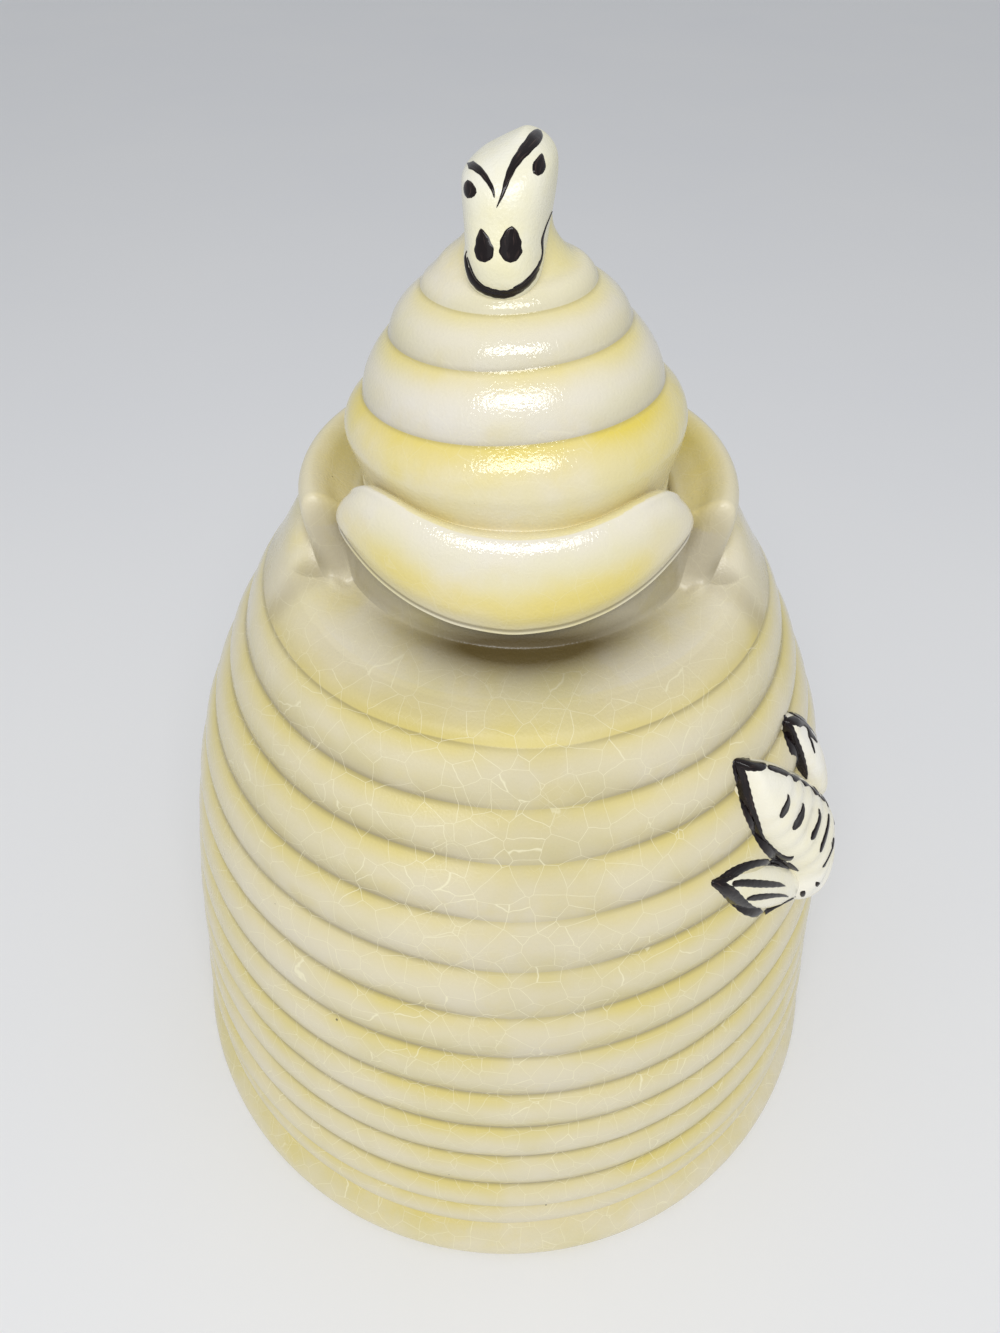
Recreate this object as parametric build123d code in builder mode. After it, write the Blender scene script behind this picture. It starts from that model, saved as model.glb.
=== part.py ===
"""Beehive honey pot: a skep of stacked coils with a lift-off lid, a head knob and a bee in relief.

Millimetres, +Z up. The origin is the centre of the foot's underside. The front, where the collar is
cut away, faces -Y, and the bee is on the right front, towards +X.
"""
import os
from itertools import accumulate
from math import cos, radians, sin

from build123d import *

# ------------------------------------------------------------------ driving dimensions (mm, degrees)
# Skep: the line through the coil grooves, a superellipse that would close at the apex
skep_radius = 66.0
skep_belly = 1.88
skep_crown = 2.26
foot_coil = 9.0
coil_heights = (9.0, 9.0, 10.0, 10.0, 9.5, 10.0, 9.0, 9.5, 8.5, 8.0, 7.5, 8.0)
apex_rise = 25.5            # apex above the top groove
coil_bulge = 1.5
foot_flare = 4.0
foot_edge = 2.5
foot_ring = 9.0             # width of the ring that the pot stands on
foot_recess = 1.5

# Collar, seat and mouth
shoulder_rise = 11.6        # collar crease above the top groove
shoulder_bulge = 1.7
crease_lift = 1.24          # crease outside the groove line
collar_bulge = 0.4
collar_rise = 5.2           # collar crest above its crease
crest_inset = 2.0           # collar crest inside its crease
seat_drop = 4.4             # seat below the collar crest
seat_step = 1.4
dish_width = 7.2            # collar crest to the edge of the seat
dish_hollow = 0.7
seat_width = 3.0            # edge of the seat to the mouth

# Scoop: the front of the collar, cut away down to the shoulder
scoop_floor_angle = 60.0    # half angle at the floor
scoop_top_angle = 71.0      # half angle at the collar crest
scoop_depth = 8.0           # floor below the seat
scoop_swell = 1.8
neck_inset = 3.3            # neck band inside the collar crest
neck_lean = 0.4
neck_wall = 2.9             # height of the neck band below the lip

# Cavity
pot_wall = 5.0
pot_floor = 5.5
floor_corner = 14.0
throat_depth = 7.0
throat_flare = 6.4

# Lid: coils stacked from its rim up, each with the groove that ends it
lid_clearance = 0.6
lid_rim_height = 3.6
lid_groove_insets = (1.6, 7.0, 12.2)    # inside the rim
lid_groove_rises = (18.4, 27.6, 33.0)   # above the seat
lid_coil_bulges = (3.0, 2.1, 1.9)
crown_rise = 6.4            # top of the crown, under the head, above the last groove
crown_radius = 3.6
crown_swell = 1.2
flange_depth = 5.0
flange_wall = 2.8
lid_wall = 4.2

# Crescent lip: sections from the front out to the tips, with rises above the seat
lip_overhang = 1.7          # lip's face outside the neck band
lip_crest_inset = 2.3       # lip's crest inside its face
lip_clearance = 0.7
lip_edge = 0.8
lip_angles = (0.0, 20.0, 38.0, 52.0, 60.0, 65.0)
lip_crest_rises = (10.3, 10.9, 12.0, 11.2, 9.2, 6.7)
lip_edge_rises = (-3.2, -2.7, -1.4, 0.4, 2.2, 4.1)

# Head knob: ellipses stacked up from the chin
head_chin_rise = 33.4       # chin above the seat
head_roll_angle = -20.0     # tilt of the crown, which fades out towards the chin
head_turn_angle = -9.0
head_side = -0.8
head_rises = (0.0, 1.2, 3.4, 6.0, 8.8, 11.4, 13.2, 14.0)
head_places = (-8.4, -8.0, -6.8, -4.7, -2.5, -0.8, 0.2, 0.4)    # centres along Y
head_half_widths = (2.6, 4.1, 4.7, 4.9, 5.3, 5.4, 4.7, 3.4)
head_half_depths = (2.0, 3.0, 4.2, 5.7, 6.4, 5.7, 4.4, 3.0)

# Bee: where it sits on the pot, then its own size
bee_angle = 57.0            # round from the front
bee_height = 89.0
bee_heading_angle = -47.0   # nose down to the right
bee_tail = 23.0
bee_nose = 18.0
bee_half_width = 11.0
bee_shoulder = 6.0          # place of the greatest width, ahead of the middle
bee_tail_width = 8.0        # half width half way to the tail
bee_sink = 6.6              # how far its axis lies under the groove line

# Wings of the bee, upper then lower: each one's place from the bee, then its size
wing_names = ("upper", "lower")
wing_turn_angles = (5.5, -12.0)     # round the pot
wing_lifts = (9.5, -4.0)
wing_heading_angles = (101.0, 138.0)
wing_lengths = (19.0, 27.0)
wing_widths = (8.0, 10.0)
wing_widest = 1 / 6         # share of the length from the middle to the greatest width
wing_relief = 2.4           # how far a wing stands over the groove line
wing_block = 10.0           # depth of the block that each wing is cut from

# ------------------------------------------------------------------ worked out
groove_heights = list(accumulate((foot_coil, *coil_heights)))
top_groove = groove_heights[-1]
skep_apex = top_groove + apex_rise
crease_height = top_groove + shoulder_rise
crest_height = crease_height + collar_rise
seat_height = crest_height - seat_drop
scoop_floor = seat_height - scoop_depth
foot_radius = skep_radius + foot_flare
foot_ring_inner = foot_radius - foot_edge - foot_ring
floor_top = foot_recess + pot_floor
far = foot_radius + skep_apex   # reaches past everything


def skep(height):
    """Radius of the groove line at a height."""
    return skep_radius * (1 - (height / skep_apex) ** skep_belly) ** (1 / skep_crown)


crease_radius = skep(crease_height) + crease_lift
crest_radius = crease_radius - crest_inset
seat_radius = crest_radius - dish_width
mouth_radius = seat_radius - seat_width
neck_radius = crest_radius - neck_inset
lip_reach = neck_radius + lip_overhang
lip_crest_radius = lip_reach - lip_crest_inset


def radial_plane(angle):
    """Upright plane through the axis: x runs outwards, y runs up, at an angle round from the front."""
    outwards = (sin(radians(angle)), -cos(radians(angle)), 0)
    sideways = (-cos(radians(angle)), -sin(radians(angle)), 0)
    return Plane((0, 0, 0), x_dir=outwards, z_dir=sideways)


def skin_plane(angle, height, heading):
    """Plane that touches the groove line: x runs along the heading, z runs outwards."""
    step = 1.0
    slope = (skep(height + step) - skep(height - step)) / (2 * step)
    out_x, out_y = sin(radians(angle)), -cos(radians(angle))
    around = Vector(-out_y, out_x, 0)
    up = Vector(slope * out_x, slope * out_y, 1).normalized()
    forward = around * cos(radians(heading)) + up * sin(radians(heading))
    origin = (skep(height) * out_x, skep(height) * out_y, height)
    return Plane(origin, x_dir=forward, z_dir=around.cross(up))


# ------------------------------------------------------------------ outer form of the pot, filled in
grooves = [(skep(h), h) for h in groove_heights]
with BuildPart() as pot_form:
    with BuildSketch(Plane.XZ):
        with BuildLine():
            Polyline((0, foot_recess), (foot_ring_inner, foot_recess), (foot_ring_inner, 0),
                     (foot_radius - foot_edge, 0))
            RadiusArc((foot_radius - foot_edge, 0), (foot_radius, foot_edge), -foot_edge)
            SagittaArc((foot_radius, foot_edge), grooves[0], -coil_bulge / 2)
            for low, high in zip(grooves, grooves[1:]):
                SagittaArc(low, high, -coil_bulge)
            SagittaArc(grooves[-1], (crease_radius, crease_height), -shoulder_bulge)
            ThreePointArc((crease_radius, crease_height),
                          (crease_radius + collar_bulge, crease_height + collar_rise / 2),
                          (crest_radius, crest_height))
            SagittaArc((crest_radius, crest_height), (seat_radius, seat_height + seat_step), dish_hollow)
            Polyline((seat_radius, seat_height + seat_step), (seat_radius, seat_height), (0, seat_height),
                     (0, foot_recess))
        make_face()
    revolve(axis=Axis.Z)

# ------------------------------------------------------------------ scoop through the collar's front
scoop_section = [
    (neck_radius, scoop_floor), (neck_radius - neck_lean, scoop_floor + neck_wall),
    (seat_radius + neck_lean, seat_height - neck_wall / 2), (seat_radius + neck_lean, far), (far, far),
    (far, top_groove), grooves[-1],
]
with BuildPart() as scoop:
    scoop_low = (scoop_floor - scoop_depth, scoop_floor_angle)
    scoop_high = (crest_height, scoop_top_angle)
    for height, half_angle in (scoop_low, scoop_high):
        side, front = far * sin(radians(half_angle)), -far * cos(radians(half_angle))
        with BuildSketch(Plane.XY.offset(height)):
            Polygon((0, 0), (side, front), (side, -far), (-side, -far), (-side, front), align=None)
    loft(ruled=True)
    with BuildSketch(Plane.XZ):
        with BuildLine():
            Polyline(*scoop_section)
            SagittaArc(grooves[-1], (neck_radius, scoop_floor), -scoop_swell)
        make_face()
    revolve(axis=Axis.Z, mode=Mode.INTERSECT)

with BuildPart() as pot_body:
    add(pot_form.part)
    add(scoop.part, mode=Mode.SUBTRACT)
    with BuildSketch(Plane.XZ):
        with BuildLine():
            Polyline((0, floor_top), (skep(floor_top) - pot_wall - floor_corner, floor_top))
            walls = [(skep(h) - pot_wall, h) for h in groove_heights[2::3]]
            throat = (mouth_radius, seat_height - throat_depth)
            Spline((skep(floor_top) - pot_wall - floor_corner, floor_top), *walls,
                   (crease_radius - throat_flare, scoop_floor - pot_wall), throat, tangents=((1, 0), (-1, 0.6)))
            Polyline(throat, (mouth_radius, far), (0, far), (0, floor_top))
        make_face()
    revolve(axis=Axis.Z, mode=Mode.SUBTRACT)
pot_body.part.label = "pot_body"

# ------------------------------------------------------------------ lid
lid_rim = seat_radius - lid_clearance
flange_radius = mouth_radius - lid_clearance
bore_radius = flange_radius - flange_wall
lid_grooves = zip(lid_groove_insets, lid_groove_rises)
lid_points = [(lid_rim - inset, seat_height + rise) for inset, rise in lid_grooves]
lid_start = (lid_rim, seat_height + lid_rim_height)
crown_top = lid_points[-1][1] + crown_rise
with BuildPart() as lid_dome:
    with BuildSketch(Plane.XZ):
        with BuildLine():
            Polyline((bore_radius, seat_height - flange_depth), (flange_radius, seat_height - flange_depth),
                     (flange_radius, seat_height), (lid_rim, seat_height), lid_start)
            start = lid_start
            for bulge, point in zip(lid_coil_bulges, lid_points):
                SagittaArc(start, point, -bulge)
                start = point
            Spline(start, (start[0] - crown_swell, start[1] + crown_rise / 3), (crown_radius, crown_top))
            hollow = [(r - lid_wall, z - lid_wall / 2) for r, z in reversed(lid_points)]
            Polyline((crown_radius, crown_top), (0, crown_top), (0, hollow[0][1]), hollow[0])
            Spline(*hollow, (bore_radius, seat_height), tangents=((1, -0.6), (0, -1)))
            Polyline((bore_radius, seat_height), (bore_radius, seat_height - flange_depth))
        make_face()
    revolve(axis=Axis.Z)


def lip_section(crest_rise, edge_rise):
    """Corners of the lip in a radial plane: crest, outer face, edge, inner face and root."""
    crest = (lip_crest_radius, seat_height + crest_rise)
    face = (lip_reach, seat_height + (crest_rise + edge_rise) / 2)
    edge = (lip_reach - lip_edge, seat_height + edge_rise)
    inner = (neck_radius - neck_lean + lip_clearance, seat_height + edge_rise + lip_edge)
    root_low = (lid_rim, seat_height + lid_rim_height)
    root_high = (lid_rim, seat_height + crest_rise + lip_edge)
    return crest, face, edge, inner, root_low, root_high


with BuildPart() as lip:
    right_half = list(zip(lip_angles, lip_crest_rises, lip_edge_rises))
    left_half = [(-angle, crest_rise, edge_rise) for angle, crest_rise, edge_rise in right_half[:0:-1]]
    for angle, crest_rise, edge_rise in left_half + right_half:
        with BuildSketch(radial_plane(angle)):
            crest, face, edge, inner, root_low, root_high = lip_section(crest_rise, edge_rise)
            with BuildLine():
                Spline(root_high, crest, face, edge, tangents=((1, 0), (-0.4, -1)))
                Polyline(edge, inner, root_low, root_high)
            make_face()
    loft()

with BuildPart() as lid:
    add(lid_dome.part)
    add(lip.part)
lid.part.label = "lid"

# ------------------------------------------------------------------ knob head
with BuildPart() as knob_head:
    head_sections = zip(head_rises, head_places, head_half_widths, head_half_depths)
    for rise, place, half_width, half_depth in head_sections:
        centre = (head_side, place, seat_height + head_chin_rise + rise)
        tilt = (0, head_roll_angle * rise / head_rises[-1], head_turn_angle)
        with BuildSketch(Plane(centre).rotated(tilt)):
            Ellipse(half_width, half_depth)
    loft()
    add(lid.part, mode=Mode.SUBTRACT)
knob_head.part.label = "knob_head"

# ------------------------------------------------------------------ bee in relief
bee_plane = skin_plane(bee_angle, bee_height, bee_heading_angle).offset(-bee_sink)
with BuildPart() as bee_body:
    with BuildSketch(bee_plane):
        with BuildLine():
            Polyline((bee_nose, 0), (-bee_tail, 0))
            Spline((-bee_tail, 0), (-bee_tail / 2, bee_tail_width), (bee_shoulder, bee_half_width),
                   tangents=((bee_tail / 2, 2 * bee_tail_width), (1, 0)))
            EllipticalCenterArc((bee_shoulder, 0), bee_nose - bee_shoulder, bee_half_width, arc_size=90)
        make_face()
    revolve(axis=Axis(bee_plane.origin, bee_plane.x_dir))
    add(pot_form.part, mode=Mode.SUBTRACT)
bee_body.part.label = "bee_body"

with BuildPart() as wing_skin:
    with BuildSketch(Plane.XZ):
        with BuildLine():
            Spline(*[(skep(h) + wing_relief, h) for h in groove_heights[3:]])
            Polyline((skep(top_groove) + wing_relief, top_groove), (0, top_groove), (0, groove_heights[3]),
                     (skep(groove_heights[3]) + wing_relief, groove_heights[3]))
        make_face()
    revolve(axis=Axis.Z)

bee_wings = []
wings = zip(wing_names, wing_turn_angles, wing_lifts, wing_heading_angles, wing_lengths, wing_widths)
for name, turn, lift, heading, length, width in wings:
    with BuildPart() as wing:
        base = skin_plane(bee_angle + turn, bee_height + lift, heading)
        root, tip, widest = -length / 2, length / 2, length * wing_widest
        with BuildSketch(base.offset(wing_block / 2)):
            with BuildLine():
                Spline((root, 0), (widest, width / 2), (tip, 0), tangents=((1, 0.6), (0, -1)))
                Spline((tip, 0), (widest, -width / 2), (root, 0), tangents=((0, -1), (-1, 0.6)))
            make_face()
        extrude(amount=-wing_block)
        add(wing_skin.part, mode=Mode.INTERSECT)
        add(pot_form.part, mode=Mode.SUBTRACT)
        add(bee_body.part, mode=Mode.SUBTRACT)
    wing.part.label = f"bee_wing_{name}"
    bee_wings.append(wing.part)

# ------------------------------------------------------------------ written files
os.makedirs("parts", exist_ok=True)
for piece in (pot_body.part, lid.part, knob_head.part, bee_body.part, *bee_wings):
    export_step(piece, f"parts/{piece.label}.step")
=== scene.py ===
"""Looks of the beehive honey pot: glazed skep, lift-off lid, head knob, bee in relief and brushed paint."""

import math

import bmesh
import bpy
import numpy as np
from mathutils import Matrix, Vector
from mathutils.bvhtree import BVHTree


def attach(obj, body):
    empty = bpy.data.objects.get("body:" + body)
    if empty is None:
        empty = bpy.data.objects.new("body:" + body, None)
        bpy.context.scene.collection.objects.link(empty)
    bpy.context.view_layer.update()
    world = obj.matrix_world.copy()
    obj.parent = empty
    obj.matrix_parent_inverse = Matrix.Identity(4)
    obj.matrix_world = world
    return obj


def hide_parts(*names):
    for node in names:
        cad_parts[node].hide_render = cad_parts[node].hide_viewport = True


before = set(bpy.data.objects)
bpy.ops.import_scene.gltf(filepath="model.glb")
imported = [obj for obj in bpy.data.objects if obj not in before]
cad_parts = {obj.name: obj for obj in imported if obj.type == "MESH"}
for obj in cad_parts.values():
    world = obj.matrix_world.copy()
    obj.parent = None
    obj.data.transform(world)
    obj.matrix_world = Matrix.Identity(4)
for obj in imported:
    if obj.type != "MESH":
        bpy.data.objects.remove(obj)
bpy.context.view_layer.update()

MM = 0.001
# mesh steps: round the axis, up a coil of the pot, along a span of the lid, and the length of one in a stroke
ROUND_STEPS, POT_STEPS, LID_STEPS, STROKE_STEP = ((560, 16, 8, 0.22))

# ---------- sizes, in mm and degrees
# the line through the coil grooves, the grooves' heights, and how far outside that line each groove lies
SKEP_RADIUS, SKEP_APEX, SKEP_BELLY, SKEP_CROWN = 66.0, 142.5, 1.88, 2.26
GROOVES = (9.0, 18.0, 27.0, 37.0, 47.0, 56.5, 66.5, 75.5, 85.0, 93.5, 101.5, 109.0, 117.0)
GROOVE_TRIM = (0.0, 0.2, 0.0, -0.4, -0.3, -0.4, -0.1, -0.1, 0.3, 0.2, -0.6, -0.6, 0.1)
# how far each coil stands out between its grooves
COIL_BULGES = (1.2, 1.35, 0.95, 0.95, 0.95, 0.9, 0.95, 1.0, 0.9, 0.9, 0.95, 0.55)
# the castings lean a little: heights, and how far the axis has moved towards the bee there
POT_LEAN = ((60, 90, 105, 117, 133), (0.0, 0.24, 0.34, 0.59, 0.67))
LID_LEAN = ((132, 141, 147.5, 155.4, 160.7, 169), (0.2, 0.2, -0.4, -0.9, -1.1, -0.8))
FOOT_RADIUS, FOOT_RING_IN, FOOT_RECESS = 70.0, 58.5, 1.5
SEAT_RADIUS, SEAT_HEIGHT, MOUTH_RADIUS = 22.6, 129.4, 19.6
# height of the crease under the collar behind, and how much lower it runs out in front
CREASE_HEIGHT, CREASE_DIP = 128.6, 4.4
# degrees from the front: the scoop turns into the collar between the first two, and the lip ends at the last
SCOOP_LOW, SCOOP_HIGH = 60.0, 72.0
LIP_TIP = 65.2


# ---------- camera
CAMERA_PLACE = (0.0, -116.3, 207.8)
CAMERA_PITCH, CAMERA_YAW, CAMERA_ROLL = 44.82, -0.87, 0.52
CAMERA_FOCUS_PX, IMAGE_HEIGHT_PX, SENSOR_MM = 924.0, 1333.0, 24.0


def camera_axes():
    """Directions to the right, up and ahead in the picture."""
    pitch, yaw, roll = (math.radians(a) for a in (CAMERA_PITCH, CAMERA_YAW, CAMERA_ROLL))
    ahead = Vector((math.sin(yaw) * math.cos(pitch), math.cos(yaw) * math.cos(pitch), -math.sin(pitch)))
    level = Vector((math.cos(yaw), -math.sin(yaw), 0))
    raised = level.cross(ahead)
    right = level * math.cos(roll) + raised * math.sin(roll)
    return right, raised * math.cos(roll) - level * math.sin(roll), ahead


# ---------- curves and marks
def smooth(x, low, high):
    t = np.clip((np.asarray(x, float) - low) / (high - low), 0, 1)
    return t * t * (3 - 2 * t)


def ramp(x, low, high, soft):
    """0 to 1, straight in the middle and rounded off at both ends."""
    t = np.clip((np.asarray(x, float) - low) / (high - low), 0, 1)
    end = 1 / (2 * soft * (1 - soft))
    upper = np.where(t > 1 - soft, 1 - (1 - t) ** 2 * end, (t - soft / 2) / (1 - soft))
    return np.where(t < soft, t * t * end, upper)


def bump(x, middle, width):
    return np.exp(-((np.asarray(x, float) - middle) / width) ** 2)


def fade(distance, reach, power):
    """1 at no distance, and falling off over the reach."""
    return np.exp(-(distance / reach) ** power)


def directions():
    """Angles round the axis from the front (-Y) towards +X, closer where the lip and the scoop end."""
    fine = np.linspace(-180, 180, 7201)
    scoop_end = (SCOOP_LOW + SCOOP_HIGH) / 2
    density = 1.0 + 1.6 * bump(np.abs(fine), scoop_end, 8) + 9.0 * bump(np.abs(fine), LIP_TIP, 1.2)
    share = np.cumsum((density[1:] + density[:-1]) / 2)
    share = np.concatenate([[0], share]) / share[-1]
    return np.radians(np.interp(np.arange(ROUND_STEPS) / ROUND_STEPS, share, fine))


# round the axis: in radians, in degrees towards the bee, and in degrees to either side
ANGLES = directions()
SIGNED = np.degrees(ANGLES)
DEGREES = np.abs(SIGNED)


def wave(seed, low=2, high=7):
    """Slow hand-made wander round the axis, about -1 to 1."""
    pick = np.random.default_rng(seed)
    total = sum(pick.uniform(0.4, 1) / n ** 0.5 * np.sin(n * ANGLES + pick.uniform(0, 2 * math.pi))
                for n in range(low, high))
    return total / 1.6


def skep(height):
    """Radius of the line through the coil grooves."""
    inside = np.clip(1 - (np.clip(height, 0, None) / SKEP_APEX) ** SKEP_BELLY, 1e-6, 1)
    return SKEP_RADIUS * inside ** (1 / SKEP_CROWN)


def stack(points):
    """Control points (r, z), numbers or arrays over the angles, as one array (points, angles, 2)."""
    return np.array([[np.broadcast_to(r, ANGLES.shape), np.broadcast_to(z, ANGLES.shape)]
                     for r, z in points]).transpose(0, 2, 1)


def with_ends(points):
    """The points with one more at each end, straight on."""
    return np.concatenate([2 * points[:1] - points[1:2], points, 2 * points[-1:] - points[-2:-1]])


def curve(points, steps, corners=()):
    """Smooth line through control points (n, m, k): steps samples per span, and hard corners where named."""
    ends = [0, *corners, len(points) - 1]
    out = [points[:1]]
    for a, b in zip(ends, ends[1:]):
        run = with_ends(points[a:b + 1])
        for i in range(1, len(run) - 2):
            out.append(span(run[i - 1:i + 3], steps))
    return np.concatenate(out)


def span(p, steps):
    """Centripetal Catmull-Rom span between the two middle points, without its first point."""
    knots = [0]
    for a, b in zip(p, p[1:]):
        knots.append(knots[-1] + np.sqrt(np.maximum(np.linalg.norm(b - a, axis=-1), 1e-6))[..., None])

    def blend(t, i, j, a, b):
        return (knots[j] - t) / (knots[j] - knots[i]) * a + (t - knots[i]) / (knots[j] - knots[i]) * b

    out = []
    for step in range(1, steps + 1):
        t = knots[1] + (knots[2] - knots[1]) * step / steps
        a = [blend(t, k, k + 1, p[k], p[k + 1]) for k in range(3)]
        b = [blend(t, k, k + 2, a[k], a[k + 1]) for k in range(2)]
        out.append(blend(t, 1, 2, *b))
    return np.array(out)


def coil(low, high, bulge, steps, fillet):
    """One coil between two grooves that are rounded over the fillet, fullest a little below its middle.

    Gives its points, their share of the way up, and their distances from the lower and the upper groove.
    """
    s = (1 - np.cos(math.pi * np.arange(1, steps + 1) / steps))[:, None] / 2
    chord = high - low
    length = np.linalg.norm(chord, axis=-1)
    out = np.stack([chord[:, 1], -chord[:, 0]], -1) / length[:, None]
    soft = fillet / length
    rise, fall = (np.sqrt(x ** 2 + soft ** 2) - soft for x in (s, 1 - s))
    full = (4 * rise * fall / (1 - 2 * soft) ** 2) ** 0.85 * (1 + 0.3 * (0.5 - s))
    return low + s[..., None] * chord + (full * bulge)[..., None] * out, s, s * length, (1 - s) * length


class Section:
    """Rows of a section with their glaze marks, gathered run by run.

    pool: gathered glaze; line: painted shade along a groove's bottom; shade: painted shade in a hollow; pale:
    a thin crest;
    deep: painted shadow under the lip, partly dark pooled glaze; dull: satin, not gloss.
    """

    def __init__(self, *runs):
        self.rows = []
        self.marks = {name: [] for name in ("pool", "line", "shade", "pale", "deep", "dull")}
        for add_run in runs:
            add_run(self)

    def add(self, rows, **marks):
        self.rows.append(rows)
        for name, store in self.marks.items():
            store.append(np.broadcast_to(marks.get(name, 0.0), rows.shape[:2]))

    def done(self):
        return np.concatenate(self.rows), {name: np.concatenate(store) for name, store in self.marks.items()}


# ---------- meshes
def new_object(name, verts, faces, marks=None):
    """Smooth object from points in metres, faces and named values per vertex."""
    mesh = bpy.data.meshes.new(name)
    mesh.from_pydata(verts, [], faces)
    for mark, values in (marks or {}).items():
        mesh.attributes.new(mark, "FLOAT", "POINT").data.foreach_set("value", values)
    mesh.shade_smooth()
    mesh.update()
    obj = bpy.data.objects.new(name, mesh)
    bpy.context.scene.collection.objects.link(obj)
    return obj


def round_quads(rows, count):
    """Faces between rows of count vertices that each close round the form."""
    return [(low + j, low + (j + 1) % count, low + count + (j + 1) % count, low + count + j)
            for low in range(0, (rows - 1) * count, count) for j in range(count)]


def pole_fans(rows, count):
    """Faces that close such rows onto two single vertices that come after them."""
    last = (rows - 1) * count
    pole = rows * count
    fans = [(pole, (j + 1) % count, j) for j in range(count)]
    return fans + [(pole + 1, last + j, last + (j + 1) % count) for j in range(count)]


def skin(name, section, marks, lean):
    """Closed form from a section that starts and ends on the axis; marks are named values over it."""
    rows, count = len(section) - 2, ROUND_STEPS
    radii, heights = section[1:-1, :, 0], section[1:-1, :, 1]
    across = radii * np.sin(ANGLES) + np.interp(heights, *lean)
    points = np.stack([across, -radii * np.cos(ANGLES), heights], -1)
    poles = np.array([[0, 0, section[0, :, 1].mean()], [0, 0, section[-1, :, 1].mean()]])
    points = np.concatenate([points.reshape(-1, 3), poles]) * MM
    values = {mark: np.append(value[1:-1].reshape(-1), [0, 0]).astype(np.float32)
              for mark, value in marks.items()}
    return new_object(name, points.tolist(), round_quads(rows, count) + pole_fans(rows, count), values)


def clean(obj):
    """Joins the vertices that meet in one place and drops what has no area."""
    work = bmesh.new()
    work.from_mesh(obj.data)
    bmesh.ops.remove_doubles(work, verts=work.verts, dist=2e-5)
    bmesh.ops.dissolve_degenerate(work, dist=1e-6, edges=work.edges)
    bmesh.ops.recalc_face_normals(work, faces=work.faces)
    work.to_mesh(obj.data)
    work.free()
    obj.data.shade_smooth()


def tree(*objs):
    """Ray-casting tree over the meshes of several objects, in metres."""
    verts, faces = [], []
    for o in objs:
        faces += [[len(verts) + i for i in p.vertices] for p in o.data.polygons]
        verts += [v.co.copy() for v in o.data.vertices]
    return BVHTree.FromPolygons(verts, faces)


# ---------- pot
def front_wear(height):
    """Where the coils fade out: the middle of the front, towards the top."""
    return np.exp(-np.abs((SIGNED - 4.5) / 13) ** 2.6) * smooth(height, 48, 92) * 0.9


def groove(i):
    """Points of one groove all round the pot, shallower where the front is worn."""
    z = GROOVES[i] + 0.2 * wave(100 + i)
    worn = front_wear(z)
    return np.stack([skep(z) + GROOVE_TRIM[i] + 0.1 * wave(200 + i) + 0.55 * worn, z], -1)


def add_foot(section):
    """From the middle of the recessed underside round the foot ring and up to the first groove."""
    ring = 0.12 * wave(5)
    foot = stack([
        (0, FOOT_RECESS), (FOOT_RING_IN - 1.2, FOOT_RECESS), (FOOT_RING_IN, 0.9), (FOOT_RING_IN + 0.9, 0.05),
        (FOOT_RING_IN + 4, 0.0), (FOOT_RADIUS - 4.2, 0.0), (FOOT_RADIUS - 1.6, 0.35),
        (FOOT_RADIUS - 0.35 + ring / 3, 1.7), (FOOT_RADIUS - 0.15 + ring / 3, 3.1),
        (FOOT_RADIUS - 1.2 + ring, 5.3), (FOOT_RADIUS - 2.9 + ring, 7.2), groove(0).T])
    run = curve(foot, 3)
    radii, heights = run[..., 0], run[..., 1]
    section.add(run, pool=0.75 * bump(heights, 8.6, 1.8) * (radii > 60), pale=0.5 * bump(heights, 3, 2))


def add_coils(section):
    """The coils from the first groove to the last, worn smooth in the middle of the front."""
    for i, bulge in enumerate(COIL_BULGES):
        low, high = groove(i), groove(i + 1)
        worn = front_wear((low[:, 1] + high[:, 1]) / 2)
        full = bulge * (1.1 + 0.1 * wave(300 + i)) * (1 - 0.7 * worn)
        fillet = 0.5 + 0.7 * bump(SIGNED, 0, 45) + 0.8 * worn
        points, s, above, below = coil(low, high, full, POT_STEPS, fillet)
        soft = 1 - 0.8 * worn
        # line: painted shade along each groove's bottom; shade: painted shade under each coil and over the
        # worn middle of the front
        section.add(
            points,
            pool=fade(below, 2.6, 1.4) * (1 - 0.5 * worn),
            line=bump(np.minimum(above, below), 0, 0.55) * soft,
            shade=fade(above, 2.4, 1.5) * soft + 0.35 * worn,
            pale=bump(s, 0.6, 0.25) * (1 - 0.5 * worn),
            dull=1 - smooth(DEGREES, 45, 75))


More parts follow.
